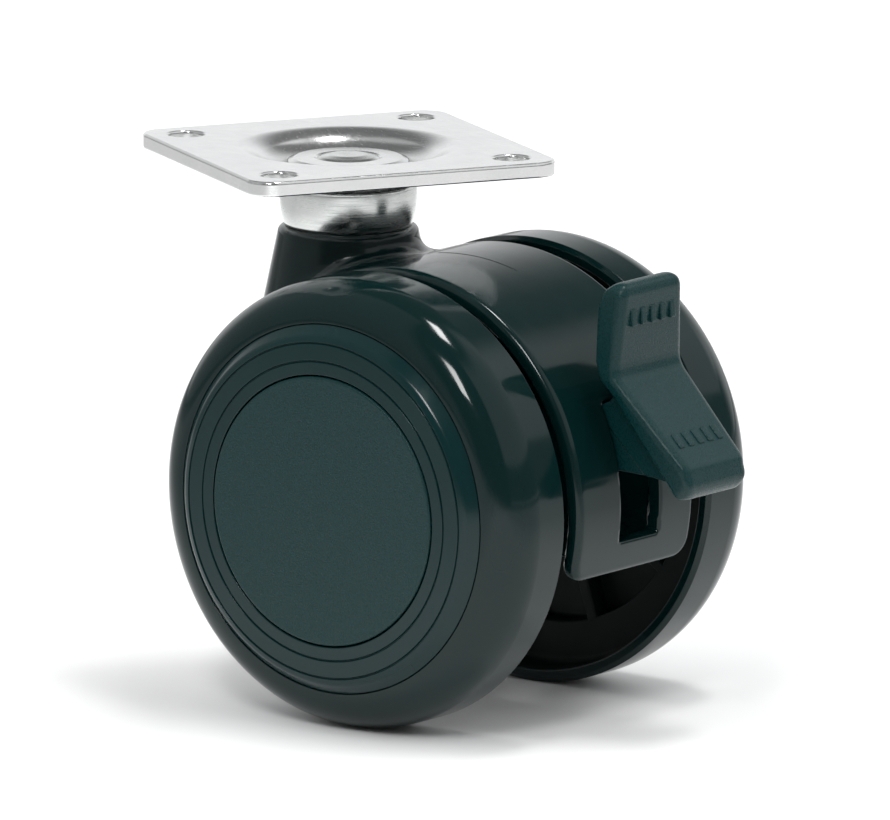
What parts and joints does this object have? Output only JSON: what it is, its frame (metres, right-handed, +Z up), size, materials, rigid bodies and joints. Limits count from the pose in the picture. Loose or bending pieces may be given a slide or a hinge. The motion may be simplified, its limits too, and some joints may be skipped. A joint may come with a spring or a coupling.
{
  "type": "chair caster wheel",
  "caption": "Twin-wheel swivel caster with a square top plate, ball swivel, hooded housing, glossy black wheels and a rocker brake pedal at the rear.",
  "frame": {"origin": "on the swivel axis, at the top plate's upper face", "axes": "+Z up along the swivel axis, +Y along the wheel axle, +X from the swivel axis over the axle towards the brake pedal"},
  "size_m": [0.0889, 0.0586, 0.0726],
  "materials": {
    "zinc_plated_steel": "bright zinc plate",
    "bright_steel": "bright, drawn and polished",
    "plain_steel": "turned and ground",
    "spring_steel": "blue tempered",
    "blackened_steel": "black phosphate",
    "housing_gloss_black": "moulded, glossy",
    "bearing_plastic": "natural acetal",
    "pedal_matte_black": "fine spark-eroded grain",
    "shoe_rubber": "moulded rubber",
    "wheel_gloss_black": "moulded, glossy",
    "cover_gloss_black": "moulded, glossy",
    "cap_textured_black": "fine spark-eroded grain"
  },
  "bodies": {
    "mount_plate": {"top_plate": "zinc_plated_steel", "kingpin": "zinc_plated_steel", "kingpin_collar": "zinc_plated_steel", "kingpin_clip": "plain_steel", "upper_race": "plain_steel"},
    "ball_ring": {"swivel_balls": "plain_steel", "ball_cage": "bearing_plastic"},
    "fork": {"housing": "housing_gloss_black", "race_cup": "bright_steel", "lower_race": "plain_steel", "neck_bush": "bearing_plastic", "axle": "plain_steel", "lever_pin": "plain_steel", "detent_spring": "spring_steel", "axle_washer_left": "plain_steel", "axle_washer_right": "plain_steel", "axle_clip_left": "plain_steel", "axle_clip_right": "plain_steel"},
    "pedal": {"brake_lever": "pedal_matte_black"},
    "brake": {"brake_bar": "blackened_steel", "brake_shoe_left": "shoe_rubber", "brake_shoe_right": "shoe_rubber"},
    "left_wheel": {"wheel_left": "wheel_gloss_black", "wheel_bush_left": "bearing_plastic", "wheel_cover_left": "cover_gloss_black", "hub_cap_left": "cap_textured_black"},
    "right_wheel": {"wheel_right": "wheel_gloss_black", "wheel_bush_right": "bearing_plastic", "wheel_cover_right": "cover_gloss_black", "hub_cap_right": "cap_textured_black"}
  },
  "joints": [
    {"name": "swivel", "type": "hinge", "parent": "mount_plate", "child": "fork", "pos_m": [0, 0, 0], "axis": [0, 0, 1], "continuous": true},
    {"name": "ball_ring_turn", "type": "hinge", "parent": "mount_plate", "child": "ball_ring", "pos_m": [0, 0, 0], "axis": [0, 0, 1], "continuous": true},
    {"name": "left_wheel_spin", "type": "hinge", "parent": "fork", "child": "left_wheel", "pos_m": [0.018, 0, -0.0426], "axis": [0, 1, 0], "continuous": true},
    {"name": "right_wheel_spin", "type": "hinge", "parent": "fork", "child": "right_wheel", "pos_m": [0.018, 0, -0.0426], "axis": [0, 1, 0], "continuous": true},
    {"name": "pedal_rock", "type": "hinge", "parent": "fork", "child": "pedal", "pos_m": [0.03172, 0.0008, -0.02737], "axis": [0, 1, 0], "range_deg": [0, 24]},
    {"name": "brake_lift", "type": "slide", "parent": "fork", "child": "brake", "axis": [0.6691, 0, 0.7431], "range_m": [0, 0.0012]}
  ],
  "couplings": [
    {"joint": "ball_ring_turn", "follows": "swivel", "ratio": 0.5},
    {"joint": "brake_lift", "follows": "pedal_rock", "m_per_rad": 0.0028648}
  ]
}
